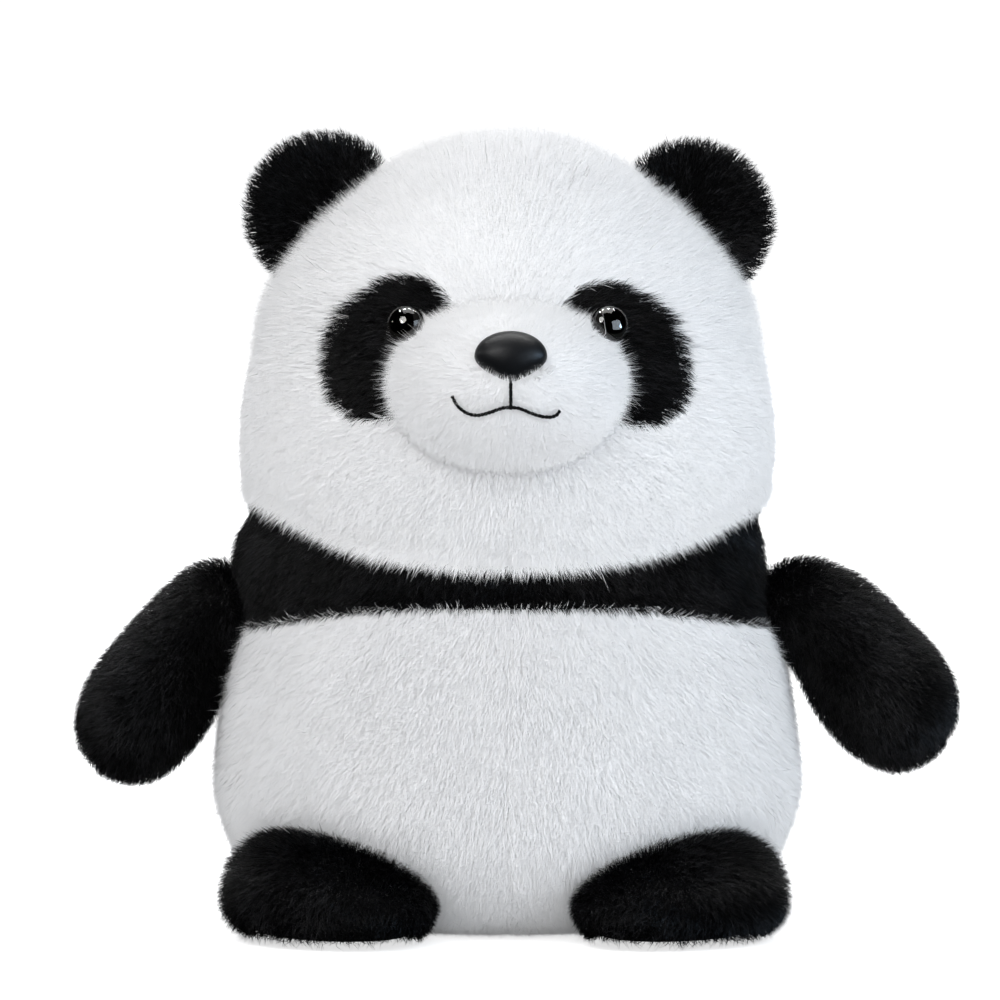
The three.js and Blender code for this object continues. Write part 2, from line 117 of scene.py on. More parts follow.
def clump_centres(p, size, seed):
    """The nearest of a jittered grid of points, for each point."""
    base = np.floor(p / size)
    best = np.full(len(p), 1e9)
    centre = np.zeros_like(p)
    for step in itertools.product((-1, 0, 1), repeat=3):
        cell = base + np.array(step)
        jitter = np.stack([hashed(cell, seed + k) for k in range(3)], axis=1)
        c = (cell + jitter) * size
        d = ((c - p) ** 2).sum(1)
        near = d < best
        best[near] = d[near]
        centre[near] = c[near]
    return centre


# ----------------------------------------
# Materials


class Nodes:
    """A short way to build a node material."""

    def __init__(self, name):
        self.material = bpy.data.materials.new(name)
        self.material.use_nodes = True
        self.tree = self.material.node_tree
        self.bsdf = self.tree.nodes["Principled BSDF"]

    def add(self, kind, **settings):
        node = self.tree.nodes.new(kind)
        for key, value in settings.items():
            if key in node.inputs:
                node.inputs[key].default_value = value
            else:
                setattr(node, key, value)
        return node

    def link(self, a, b):
        self.tree.links.new(a, b)

    def set(self, **values):
        for key, value in values.items():
            self.bsdf.inputs[key.replace("_", " ")].default_value = value

    def mapped(self, low, high):
        """A node that takes 0 to low, 1 to high, and what lies between in proportion."""
        node = self.add("ShaderNodeMapRange")
        node.inputs["To Min"].default_value, node.inputs["To Max"].default_value = low, high
        return node

    def blended(self, dark, light):
        node = self.add("ShaderNodeMix", data_type="RGBA")
        node.inputs["A"].default_value = (*dark, 1)
        node.inputs["B"].default_value = (*light, 1)
        return node


def strand_material(name, colour, roughness, specular, worn):
    """One shade of pile fibre. Its colour and gloss vary from tuft to tuft and from fibre to fibre.

    worn is how much darker the dullest fibres are.
    """
    n = Nodes(name)
    where = n.add("ShaderNodeTexCoord")
    tufts = n.add("ShaderNodeTexNoise", Scale=160.0, Detail=2.0)
    fibres = n.add("ShaderNodeTexNoise", Scale=1500.0, Detail=1.0)
    for node in (tufts, fibres):
        n.link(where.outputs["Object"], node.inputs["Vector"])
    both = n.add("ShaderNodeMath", operation="MULTIPLY")
    n.link(tufts.outputs["Fac"], both.inputs[0])
    n.link(fibres.outputs["Fac"], both.inputs[1])
    dye = n.add("ShaderNodeValToRGB")
    thin, full = dye.color_ramp.elements
    thin.position, full.position = 0.15, 0.4
    thin.color = (*[c * (1 - worn) for c in colour], 1)
    full.color = (*[min(c * (1 + worn / 2), 0.98) for c in colour], 1)
    n.link(both.outputs["Value"], dye.inputs["Fac"])
    n.link(dye.outputs["Color"], n.bsdf.inputs["Base Color"])
    gloss = n.mapped(roughness * 0.8, min(1.0, roughness * 1.2))
    n.link(fibres.outputs["Fac"], gloss.inputs["Value"])
    n.link(gloss.outputs["Result"], n.bsdf.inputs["Roughness"])
    n.set(Specular_IOR_Level=specular)
    return n.material


def backing_material(name, dark, light, sheen=0.4):
    """The knitted backing under the pile, with fine fuzz."""
    n = Nodes(name)
    where = n.add("ShaderNodeTexCoord")
    fuzz = n.add("ShaderNodeTexNoise", Scale=900.0, Detail=6.0, Roughness=0.7)
    knit = n.add("ShaderNodeTexVoronoi", Scale=620.0)
    mix = n.blended(dark, light)
    bump = n.add("ShaderNodeBump", Strength=0.2, Distance=0.0004)
    for node in (fuzz, knit):
        n.link(where.outputs["Object"], node.inputs["Vector"])
    n.link(fuzz.outputs["Fac"], mix.inputs["Factor"])
    n.link(mix.outputs["Result"], n.bsdf.inputs["Base Color"])
    n.link(knit.outputs["Distance"], bump.inputs["Height"])
    n.link(bump.outputs["Normal"], n.bsdf.inputs["Normal"])
    n.set(Roughness=0.95, Sheen_Weight=sheen, Specular_IOR_Level=0.2)
    return n.material


def plastic_material(name, colour, rough, grain=0.0, shine=0.25):
    """Moulded plastic, with a fine grain when asked for."""
    n = Nodes(name)
    where = n.add("ShaderNodeTexCoord")
    spots = n.add("ShaderNodeTexNoise", Scale=2600.0, Detail=3.0)
    spread = n.mapped(rough * 0.85, rough * 1.15)
    bump = n.add("ShaderNodeBump", Strength=grain, Distance=0.0002)
    n.link(where.outputs["Object"], spots.inputs["Vector"])
    n.link(spots.outputs["Fac"], spread.inputs["Value"])
    n.link(spread.outputs["Result"], n.bsdf.inputs["Roughness"])
    n.link(spots.outputs["Fac"], bump.inputs["Height"])
    n.link(bump.outputs["Normal"], n.bsdf.inputs["Normal"])
    n.set(Base_Color=(*colour, 1), Specular_IOR_Level=shine)
    return n.material


def thread_material(name, colour, sheen):
    """Twisted sewing thread."""
    n = Nodes(name)
    where = n.add("ShaderNodeTexCoord")
    ply = n.add("ShaderNodeTexNoise", Scale=3000.0, Detail=4.0)
    mix = n.blended([c * 0.6 for c in colour], [min(1, c * 1.5) for c in colour])
    bump = n.add("ShaderNodeBump", Strength=0.5, Distance=0.0002)
    n.link(where.outputs["Object"], ply.inputs["Vector"])
    n.link(ply.outputs["Fac"], mix.inputs["Factor"])
    n.link(mix.outputs["Result"], n.bsdf.inputs["Base Color"])
    n.link(ply.outputs["Fac"], bump.inputs["Height"])
    n.link(bump.outputs["Normal"], n.bsdf.inputs["Normal"])
    n.set(Roughness=0.7, Sheen_Weight=sheen, Specular_IOR_Level=0.1)
    return n.material


def glass_material():
    """The clear plastic of the eye domes, smooth as glass."""
    n = Nodes("eye_glass")
    n.set(Base_Color=(1, 1, 1, 1), Transmission_Weight=1.0, Roughness=0.0, IOR=1.8)
    return n.material


def strand_materials(colour, shades, roughness, specular, worn):
    return [
        strand_material(f"{colour}_pile_{i}", shade, roughness, specular, worn)
        for i, shade in enumerate(shades)
    ]


def grey(level):
    return (level, level, level)


WHITE_SHADES = [(0.94, 0.94, 0.945), (0.91, 0.915, 0.925), (0.96, 0.958, 0.955)]
BLACK_SHADES = [(0.002, 0.002, 0.0022), (0.004, 0.004, 0.0045), (0.022, 0.022, 0.024)]
MATERIAL = {
    "white": strand_materials("white", WHITE_SHADES, 0.85, 0.1, 0.03),
    "black": strand_materials("black", BLACK_SHADES, 0.34, 0.14, 0.4),
    "white_backing": backing_material("white_backing", (0.82, 0.82, 0.83), grey(0.93)),
    "black_backing": backing_material("black_backing", grey(0.002), grey(0.006), sheen=0.0),
    "stuffing": backing_material("stuffing", grey(0.6), grey(0.8)),
    "nose": plastic_material("nose_satin", (0.003, 0.0035, 0.0045), 0.4, grain=0.45),
    "pupil": plastic_material("pupil_black", grey(0.001), 0.8, shine=0.0),
    "iris": plastic_material("iris_brown", (0.008, 0.007, 0.006), 0.5, shine=0.1),
    "glass": glass_material(),
    "washer": plastic_material("washer_plastic", (0.7, 0.7, 0.68), 0.4, grain=0.1),
    "black_thread": thread_material("black_thread", grey(0.004), 0.0),
    "white_thread": thread_material("white_thread", (0.75, 0.75, 0.73), 0.2),
}

# ----------------------------------------
# Meshes


def link(obj):
    bpy.context.scene.collection.objects.link(obj)
    return obj


def mesh_object(name, points, faces, materials, smooth_faces=True):
    """A mesh object from points in millimetres."""
    mesh = bpy.data.meshes.new(name)
    mesh.from_pydata((np.asarray(points) * M).tolist(), [], [list(map(int, f)) for f in faces])
    for material in materials:
        mesh.materials.append(material)
    if smooth_faces:
        mesh.shade_smooth()
    return link(bpy.data.objects.new(name, mesh))


def fitted(obj, body, slot, *replaced):
    """The object rides a body and stands for CAD nodes, which it hides. slot is not used."""
    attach(obj, body)
    if replaced:
        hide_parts(*replaced)


def grid_faces(rows, columns):
    """Quads of a grid whose columns wrap round, with a cap on the first and the last row."""
    faces = []
    for low in range(0, (rows - 1) * columns, columns):
        high = low + columns
        for c in range(columns):
            d = (c + 1) % columns
            faces.append((low + c, low + d, high + d, high + c))
    faces.append(tuple(range(columns))[::-1])
    faces.append(tuple((rows - 1) * columns + c for c in range(columns)))
    return faces


def turned(profile, columns):
    """Points and faces of a turned shape: profile is (radius, height) from bottom to top."""
    profile = np.asarray(profile, float)
    angle = np.arange(columns) / columns * 2 * math.pi
    r, z = profile[:, :1], profile[:, 1:]
    points = np.stack([r * np.cos(angle), r * np.sin(angle), z + 0 * angle], axis=2).reshape(-1, 3)
    return points, grid_faces(len(profile), columns)


def rounded(half, rows, columns):
    """An ellipsoid about the origin, with its poles on Z."""
    polar = np.linspace(0.02, math.pi - 0.02, rows)
    profile = np.stack([np.sin(polar), -np.cos(polar)], axis=1)
    points, faces = turned(profile, columns)
    return points * half, faces


def placed(points, axes, origin):
    return points @ np.array(axes) + origin


class Skin:
    """A surface that pile grows on: points, faces and vertex normals, in millimetres."""

    def __init__(self, points, quads):
        self.points = np.array(points, float)
        self.quads = list(quads)
        self.triangulate()
        self.update()
        if dot(self.normals, self.points - self.points.mean(0)).sum() < 0:
            self.quads = [q[::-1] for q in self.quads]
            self.triangulate()
            self.update()

    def triangulate(self):
        tris = [(q[0], q[k], q[k + 1]) for q in self.quads for k in range(1, len(q) - 1)]
        self.tris = np.array(tris, int)

    def update(self):
        a, b, c = (self.points[self.tris[:, k]] for k in range(3))
        cross = np.cross(b - a, c - a)
        self.area = np.linalg.norm(cross, axis=1) / 2
        normal = np.zeros_like(self.points)
        for k in range(3):
            np.add.at(normal, self.tris[:, k], cross)
        self.normals = unit(normal)

    def inset(self, depth):
        """Moves the surface inwards."""
        self.points = self.points - self.normals * depth
        self.update()
        return self

    def face_centres(self):
        return np.array([self.points[list(q)].mean(0) for q in self.quads])

    def sample(self, per_mm2, rng):
        """Evenly spread points with their normals."""
        total = self.area.sum()
        count = int(total * per_mm2)
        at = (np.arange(count) + rng.random(count)) / count * total
        tri = np.minimum(np.searchsorted(np.cumsum(self.area), at), len(self.area) - 1)
        u, v = rng.random(count), rng.random(count)
        flip = u + v > 1
        u[flip], v[flip] = 1 - u[flip], 1 - v[flip]
        w = np.stack([1 - u - v, u, v], axis=1)[:, :, None]
        corners = self.tris[tri]
        return (self.points[corners] * w).sum(1), unit((self.normals[corners] * w).sum(1))


PRESSURE, FRAMES, STIFFNESS, BENDING = 4.0, 20, 15, 0.5


def puffed(skin, seams, cap):
    """The skin after its stuffing presses it out: a cloth simulation, sewn down along its seams.

    seams says how firmly each point is held, from 0 to 1; cap is how far a point may move, in mm.
    """
    obj = mesh_object("cloth", skin.points, skin.quads, [])
    group = obj.vertex_groups.new(name="seams")
    for level in (0.25, 0.5, 0.75, 1.0):
        held = np.nonzero(seams >= level)[0]
        group.add([int(i) for i in held], level, "REPLACE")
    cloth = obj.modifiers.new("cloth", "CLOTH")
    settings = cloth.settings
    settings.vertex_group_mass = "seams"
    settings.use_pressure = True
    settings.uniform_pressure_force = PRESSURE
    settings.effector_weights.gravity = 0
    settings.quality = 5
    settings.tension_stiffness = settings.compression_stiffness = STIFFNESS
    settings.bending_stiffness = BENDING
    scene = bpy.context.scene
    for f in range(1, FRAMES + 1):
        scene.frame_set(f)
    shape = obj.evaluated_get(bpy.context.evaluated_depsgraph_get()).to_mesh()
    moved = np.empty(len(shape.vertices) * 3)
    shape.vertices.foreach_get("co", moved)
    move = moved.reshape(-1, 3) / M - skin.points
    far = np.linalg.norm(move, axis=1, keepdims=True)
    skin.points = skin.points + move * np.minimum(1, cap / np.maximum(far, 1e-6))
    skin.update()
    bpy.data.objects.remove(obj)
    scene.frame_set(1)
    return skin


# ----------------------------------------
# Pile


# A fibre is a ridge of two faces that looks away from the fabric: left, ridge and right points at
# the root, and in the middle of a bent fibre, and one point at the tip.
RIDGE = np.radians([105, 0, -105])
STRAIGHT_FACES = np.array([(1, 0, 3), (2, 1, 3)], np.int32)
BENT_FACES = np.array([(1, 0, 3), (1, 3, 4), (2, 1, 4), (2, 4, 5), (4, 3, 6), (5, 4, 6)], np.int32)


def ridges(stations, tip, radius, ground, soft, roll):
    """Points and shading normals of fibres through the stations, as (n, points of a fibre, 3)."""
    count = len(tip)
    points = np.empty((count, 3 * len(stations) + 1, 3))
    normals = np.empty_like(points)
    ahead = list(stations[1:]) + [tip]
    for k, (at, beyond) in enumerate(zip(stations, ahead)):
        along = unit(beyond - at)
        up = unit(ground - along * dot(ground, along) + 1e-4)
        side = np.cross(along, up)
        for j in range(3):
            angle = (roll + RIDGE[j])[:, None]
            out = up * np.cos(angle) + side * np.sin(angle)
            points[:, 3 * k + j] = at + out * (radius * (1 - 0.2 * k))[:, None]
            normals[:, 3 * k + j] = unit(out * (1 - soft) + ground * soft)
    points[:, -1] = tip
    normals[:, -1] = unit(ground - (1 - soft) * along * dot(ground, along) + 1e-3)
    return points, normals


def fibre_mesh(name, rings, radius, ground, soft, shade, bent, materials, rng):
    """Tapered fibres as one mesh.

    rings is (3, n, 3): the root, middle and tip of each fibre. ground is the fabric's normal, and
    soft says how far the fibres are shaded like the fabric under them.
    """
    roll = rng.normal(size=len(radius)) * 0.4
    points, normals, corners, slots, start = [], [], [], [], 0
    for pick, inner, faces in ((~bent, rings[:1], STRAIGHT_FACES), (bent, rings[:2], BENT_FACES)):
        size = radius[pick] * (1.15 if len(inner) == 1 else 1.0)
        stations = [r[pick] for r in inner]
        p, n = ridges(stations, rings[2][pick], size, ground[pick], soft, roll[pick])
        first = start + np.arange(len(p), dtype=np.int32)[:, None, None] * p.shape[1]
        corners.append((first + faces[None]).ravel())
        slots.append(np.repeat(shade[pick], len(faces)))
        points.append(p.reshape(-1, 3))
        normals.append(n.reshape(-1, 3))
        start += len(points[-1])
    points, normals, corners = np.vstack(points), np.vstack(normals), np.concatenate(corners)
    triangles = len(corners) // 3
    mesh = bpy.data.meshes.new(name)
    mesh.vertices.add(len(points))
    mesh.vertices.foreach_set("co", (points * M).astype(np.float32).ravel())
    mesh.loops.add(len(corners))
    mesh.loops.foreach_set("vertex_index", corners)
    mesh.polygons.add(triangles)
    mesh.polygons.foreach_set("loop_start", np.arange(0, triangles * 3, 3, dtype=np.int32))
    mesh.polygons.foreach_set("material_index", np.concatenate(slots).astype(np.int32))
    mesh.polygons.foreach_set("use_smooth", np.ones(triangles, bool))
    for material in materials:
        mesh.materials.append(material)
    mesh.update(calc_edges=True)
    custom = mesh.attributes.new("custom_normal", "FLOAT_VECTOR", "POINT")
    custom.data.foreach_set("vector", normals.astype(np.float32).ravel())
    return link(bpy.data.objects.new(name, mesh))


# bent is the share of the fibres that are bent; strays is the share that stand out of the pile.
STYLE = {
    "white": dict(radius=0.1, clump=0.03, wave=0.12, frizz=0.32, strays=0.01, soft=0.88, bent=0.2),
    "black": dict(radius=0.12, clump=0.24, wave=0.3, frizz=0.22, strays=0.01, soft=0.1, bent=1.0),
}


def groom(root, normal, flow, length, lean, rng, seed, clump, wave, frizz, strays):
    """The root, middle and tip of each fibre.

    flow is the direction the pile is brushed in; lean is (at the root, at the tip), in degrees from
    the normal; clump is how far the tips gather into tufts; wave and frizz bend tufts and fibres.
    """
    count = len(root)
    along = flow + wave * noise3(root, 9.0, seed) + 0.6 * wave * noise3(root, 24.0, seed + 7)
    along = along + frizz * rng.normal(size=(count, 3))
    along = unit(along - normal * dot(along, normal))
    size = length * (0.82 + 0.3 * rng.random(count)) * (1 + 0.05 * noise(root, 14.0, seed + 11))
    stray = rng.random(count) < strays
    size = np.where(stray, size * 1.28, size)
    spread = rng.normal(size=count) * np.where(stray, 0.3, 0.13)
    rings = [root]
    for angle in lean:
        a = (np.radians(angle) + spread)[:, None]
        rings.append(rings[-1] + (normal * np.cos(a) + along * np.sin(a)) * size[:, None] / 2)
    for cell, share, offset in ((3.1, clump, 20), (7.5, clump * 0.45, 40)):
        pull = clump_centres(root, cell, seed + offset) - root
        pull = pull - normal * dot(pull, normal)
        pull = pull * (share * (0.6 + 0.4 * rng.random(count)))[:, None]
        rings[1] = rings[1] + pull * 0.4
        rings[2] = rings[2] + pull
    return np.stack(rings)


PARTINGS = []  # (centre, axis, radius, share of fibres kept clear) of each eye


def parted(rings, rng):
    """Fibres laid around the eyes instead of across them."""
    for centre, axis, radius, share in PARTINGS:
        obeys = rng.random(rings.shape[1]) < share
        for k in (1, 2):
            away = rings[k] - centre
            out = away - axis * dot(away, axis)
            far = np.linalg.norm(out, axis=1)
            push = obeys & (far < radius) & (np.abs(dot(away, axis)[:, 0]) < 14)
            rings[k][push] += (unit(out) * (radius - far)[:, None])[push]
    return rings


def pile(name, body, colour, root, normal, flow, seed, length, lean, replaces=(), **style):
    """A piece of pile on one body."""
    rng = np.random.default_rng(seed)
    length = np.broadcast_to(np.asarray(length, float), (len(root),))
    style = {**STYLE[colour], **style}
    radius, soft, bent = (style.pop(key) for key in ("radius", "soft", "bent"))
    rings = parted(groom(root, normal, flow, length, lean, rng, seed, **style), rng)
    rings[..., 2] = np.maximum(rings[..., 2], 0.15)
    pick = rng.random(len(root)) + 0.25 * noise(root, 12.0, seed + 3)
    shade = np.digitize(pick, [0.5, 0.85])
    thick = radius * (0.75 + 0.5 * rng.random(len(root)))
    bent = rng.random(len(root)) < bent
    obj = fibre_mesh(name, rings, thick, normal, soft, shade, bent, MATERIAL[colour], rng)
    fitted(obj, body, f"{colour}_plush", *replaces)


# ----------------------------------------
# Head and body

# The egg-shaped head and body: [share of the half width, share of the height], base to crown.
TORSO_PROFILE = [
    (0.541, 0.0), (0.757, 0.02), (0.903, 0.064), (0.984, 0.128), (1.0, 0.192), (0.968, 0.296),
    (0.914, 0.4), (0.874, 0.488), (0.867, 0.52), (0.902, 0.572), (0.915, 0.62), (0.895, 0.697),
    (0.827, 0.781), (0.708, 0.857), (0.541, 0.925), (0.346, 0.971), (0.151, 0.995), (0.02, 1.0),
]
TORSO_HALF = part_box("left_belly_panel")[1].x / M
TORSO_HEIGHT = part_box("left_head_back_panel")[1].z / M
DEPTH_FRONT, DEPTH_BACK = 0.88, 0.84
BASE_SETBACK, SETBACK_HEIGHT = 16.0, 34.0
TORSO_INSET = 3.0
TORSO_COLUMNS = 96

NECK_FRONT, NECK_SIDE, NECK_BACK = 121.5, 136.0, 134.0
BAND_FRONT, BAND_SIDE, BAND_BACK = 109.0, 97.0, 97.0
SIDE_X = 84.0
PATCH_LONG, PATCH_SHORT, PATCH_LEAN = 26.0, 18.0, math.radians(37)
# Each patch is sewn on a little out of true.
PATCH_SET = {"left": (-1.0, -1.6), "right": (-0.5, 0.3)}
BAND_OVERLAP = 0.7  # how far below the belly seam the band's pile starts
SHOULDER_HEIGHT, SHOULDER_DENT = 119.0, {"left": 1.2, "right": 4.2}


def torso_skin():
    profile = catmull_rom(TORSO_PROFILE, 6) * [TORSO_HALF, TORSO_HEIGHT]
    angle = np.arange(TORSO_COLUMNS) / TORSO_COLUMNS * 2 * math.pi
    r, z = profile[:, :1], profile[:, 1:]
    x, y = r * np.sin(angle), -r * np.cos(angle)
    y = y * np.where(y < 0, DEPTH_FRONT, DEPTH_BACK)
    y = y + BASE_SETBACK * np.clip(1 - z / SETBACK_HEIGHT, 0, 1) ** 2
    points = np.stack([x, y, np.broadcast_to(z, x.shape)], axis=2).reshape(-1, 3)
    skin = Skin(points, grid_faces(len(profile), TORSO_COLUMNS)).inset(TORSO_INSET)
    p = skin.points
    shoulder = np.exp(-(((p[:, 2] - SHOULDER_HEIGHT) / 15) ** 2))
    right, left = smooth(55, 80, -p[:, 0]), smooth(55, 80, p[:, 0])
    p[:, 0] -= shoulder * (SHOULDER_DENT["right"] * right + SHOULDER_DENT["left"] * left)
    p[:, :2] *= 1 - 0.03 * smooth(50, 24, p[:, 2:])
    skin.update()
    return skin


def above_neck(p):
    """Height above the neck seam."""
    front = NECK_FRONT + (NECK_SIDE - NECK_FRONT) * np.minimum((p[:, 0] / SIDE_X) ** 2, 1.2)
    return p[:, 2] - np.where(p[:, 1] < 0, front, NECK_BACK)


def above_band(p):
    """Height above the seam between the belly and the band."""
    front = BAND_FRONT - (BAND_FRONT - BAND_SIDE) * np.minimum(np.abs(p[:, 0] / SIDE_X) ** 2.6, 1.2)
    return p[:, 2] - np.where(p[:, 1] < 0, front, BAND_BACK)


def box_centre(node):
    low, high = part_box(node)
    return np.array((low + high) / 2) / M


def patch_distance(p):
    """1 on the edge of an eye patch, less inside it."""
    best = np.full(len(p), 9.0)
    for name, side in SIDES.items():
        centre = box_centre(f"{name}_eye_patch")
        dx = (p[:, 0] - centre[0]) * side - PATCH_SET[name][0]
        dz = p[:, 2] - centre[2] - PATCH_SET[name][1]
        along = -dx * math.sin(PATCH_LEAN) + dz * math.cos(PATCH_LEAN)
        across = dx * math.cos(PATCH_LEAN) + dz * math.sin(PATCH_LEAN)
        best = np.minimum(best, np.hypot(along / PATCH_LONG, across / PATCH_SHORT))
    return np.where(p[:, 1] < 0, best, 9.0)


MUZZLE_LOW, MUZZLE_HIGH = (np.array(v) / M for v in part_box("muzzle_cover"))
MUZZLE_HALF = (MUZZLE_HIGH - MUZZLE_LOW) / 2
MUZZLE_HALF[1] = 35.0
MUZZLE_CENTRE = (MUZZLE_HIGH + MUZZLE_LOW) / 2
MUZZLE_CENTRE[1] = MUZZLE_LOW[1] + MUZZLE_HALF[1]
FACE_CENTRE = np.array([0.0, -80.0, 182.0])  # the pile of the head is brushed away from here


def muzzle_distance(p, grow=0.0):
    return np.linalg.norm((p - MUZZLE_CENTRE) / (MUZZLE_HALF + grow), axis=1)


def head_flow(p):
    out = p - FACE_CENTRE
    near = np.clip(1.4 - np.linalg.norm(out, axis=1) / 140, 0.3, 1.2)[:, None]
    chin = np.sign(p[:, 0]) * np.exp(-np.abs(p[:, 0]) / 2.5) * smooth(160, 150, p[:, 2])
    parting = np.stack([0.22 * chin, 0 * chin, 0 * chin], axis=1)
    return unit(unit(out) * near + np.array([0, 0.15, -0.5]) + parting)


def body_flow(p):
    sideways = p[:, 0] * 0.006 + np.sign(p[:, 0]) * 0.1 * np.exp(-np.abs(p[:, 0]) / 5)
    return unit(np.stack([sideways, 0 * sideways, -np.ones(len(p))], axis=1))


def drifted(p, normal, flow, reach):
    """Where a fibre is seen: its root moved along the flow."""
    along = unit(flow - normal * dot(flow, normal))
    return p + along * np.broadcast_to(reach, (len(p),))[:, None]


HEAD, PATCH, BAND, BODY = range(4)
HEAD_LENGTH, PATCH_LENGTH, BAND_LENGTH, BODY_LENGTH = 7.5, 5.5, 7.0, 8.5


def neck_reach(p):
    """How far the pile of the head hangs past the neck seam."""
    return 0.5 + 6.5 * smooth(42, 84, np.abs(p[:, 0]) + 6 * (p[:, 0] < 0))


def torso_region(p, normal):
    flow = head_flow(p)
    seen = drifted(p, normal, flow, neck_reach(p))
    region = np.where(above_band(p) > -BAND_OVERLAP, BAND, BODY)
    region[above_neck(seen) > 0] = HEAD
    seen = drifted(p, normal, flow, 0.65 * PATCH_LENGTH)
    region[(region == HEAD) & (patch_distance(seen) < 1)] = PATCH
    return region


def build_torso():
    skin = torso_skin()
    p = skin.points
    near = np.minimum(np.abs(above_neck(p)), np.abs(above_band(p)) * 1.3)
    near = np.minimum(near, np.abs(p[:, 0]) * 1.2)
    near = np.minimum(near, np.abs(p[:, 1]))
    seams = 1 - smooth(1.5, 6.0, near)
    seams[p[:, 2] < 8] = 1
    puffed(skin, seams, cap=2.0)
    centres = skin.face_centres()
    face_normals = np.array([skin.normals[list(q)].mean(0) for q in skin.quads])
    dark = np.isin(torso_region(centres, face_normals), (PATCH, BAND))
    backing = [MATERIAL["white_backing"], MATERIAL["black_backing"]]
    obj = mesh_object("body_backing", skin.points, skin.quads, backing)
    obj.data.polygons.foreach_set("material_index", dark.astype(np.int32))
    fitted(obj, "torso", "white_plush", "base_panel")
    return skin


TORSO_DENSITY = 6.0  # fibres to the square millimetre
BACK_SHARE, BACK_THICK = 0.7, 1.2  # the back has fewer and thicker ones
BLACK_SHARE = 0.5  # black fibres are thicker, so that fewer will do
# The longer pile of the body lies straighter and shows more tufts.
BODY_STYLE = dict(soft=0.81, clump=0.06, wave=0.2, frizz=0.26)
LEAN = (34.0, 66.0)  # degrees from the fabric's normal, at the root and at the tip
FLUFF, HANGING, RISING = 0.04, 0.22, 0.15  # shares of the fibres that stand up, hang low or rise


def torso_roots(skin, rng):
    """Where the pile of the head and body is rooted, with its normals and regions."""
    root, normal = skin.sample(TORSO_DENSITY, rng)
    fringe, fringe_normal = skin.sample(TORSO_DENSITY, rng)
    seam = above_neck(fringe) - neck_reach(fringe)
    near = (seam > 0) & (seam < 3.5)
    root, normal = np.vstack([root, fringe[near]]), np.vstack([normal, fringe_normal[near]])
    under_base = (root[:, 2] <= 7) & (np.hypot(root[:, 0], root[:, 1] - BASE_SETBACK) <= 44)
    keep = ~under_base
    keep &= muzzle_distance(root, -5.0) > 1
    keep &= rng.random(len(root)) < 1 - (1 - BACK_SHARE) * smooth(0, 12, root[:, 1])
    for name in SIDES:
        keep &= np.linalg.norm(root - EYES[name].centre, axis=1) > EYE_R + 1.0
        keep &= np.linalg.norm(root - ARM_PIVOT[name], axis=1) > 10
    root, normal = root[keep], normal[keep]
    region = torso_region(root, normal)
    keep = (region == HEAD) | (region == BODY) | (rng.random(len(root)) < BLACK_SHARE)
    return root[keep], normal[keep], region[keep]


def brushed_head(p, lean, rng):
    """Flow, extra length and lean of the head's pile: long and upright on the crown and temples."""
    crown = smooth(222, 246, p[:, 2])
    temple = smooth(30, 56, np.abs(p[:, 0])) * smooth(182, 204, p[:, 2])
    hanging = (rng.random(len(p)) < HANGING) & (above_neck(p) < neck_reach(p) + 4)
    upright = np.maximum(crown, 0.8 * temple)
    lean = (lean[0] - 14 * upright, lean[1] - 20 * upright)
    return head_flow(p), 4.0 * crown + 3.6 * temple + 2.2 * hanging, lean


def brushed_body(p, lean, rng):
    """Flow, extra length and lean of the body's pile: short at the band, over which some rises."""
    edge = smooth(10, 1, -above_band(p))
    rising = (rng.random(len(p)) < RISING) & (above_band(p) > -4)
    flow = body_flow(p)
    flow[rising] = flow[rising] * [1, 1, -1]
    lean = (np.where(rising, 8.0, lean[0]), np.where(rising, 30.0, lean[1] - 10 * edge))
    return flow, -2.0 * edge - 1.5 * rising, lean


def build_torso_pile(skin):
    rng = np.random.default_rng(11)
    root, normal, region = torso_roots(skin, rng)
    head, body, front = region == HEAD, region == BODY, root[:, 1] < 0
    seeds = itertools.count(110, 10)
    for panel, colour, where, brushed, length, thick, style in (
        ("face_panel", "white", head & front, brushed_head, HEAD_LENGTH, 1, {}),
        ("head_back_panel", "white", head & ~front, brushed_head, HEAD_LENGTH, BACK_THICK, {}),
        ("eye_patch", "black", region == PATCH, brushed_head, PATCH_LENGTH, 1, {}),
        ("belly_panel", "white", body & front, brushed_body, BODY_LENGTH, 1, BODY_STYLE),
        ("back_panel", "white", body & ~front, brushed_body, BODY_LENGTH, BACK_THICK, BODY_STYLE),
    ):
        for side, sign in SIDES.items():
            pick = where & ((root[:, 0] > 0) == (sign > 0))
            lean = [np.full(pick.sum(), angle) for angle in LEAN]
            if colour == "white":
                fluff = rng.random(pick.sum()) < FLUFF
                lean = [lean[0] - 18 * fluff, lean[1] - 30 * fluff]
            flow, longer, lean = brushed(root[pick], lean, rng)
            if colour == "black":
                flow = unit(flow + np.array([0, 0, -0.35]))
            pile(
                f"{side}_{panel.removesuffix('_panel')}_pile", "torso", colour,
                root[pick], normal[pick], flow, next(seeds), length + longer, lean,
                replaces=[f"{side}_{panel}"], radius=STYLE[colour]["radius"] * thick, **style,
            )
    for node, half in (("chest_band", front), ("shoulder_band", ~front)):
        where = (region == BAND) & half
        p = root[where]
        edge = smooth(10, 2, above_band(p))
        under = smooth(-5, 1, above_neck(p))
        shoulder = smooth(62, 84, np.abs(p[:, 0])) * smooth(8, 20, above_band(p))
        length = BAND_LENGTH - 1.5 * edge + 2 * shoulder - 2.5 * under
        lean = (22.0 + 14 * under, 58 - 8 * edge + 12 * under)
        pile(
            f"{node}_pile", "torso", "black",
            p, normal[where], body_flow(p), next(seeds), length, lean, replaces=[node],
        )


# ----------------------------------------
# Eyes


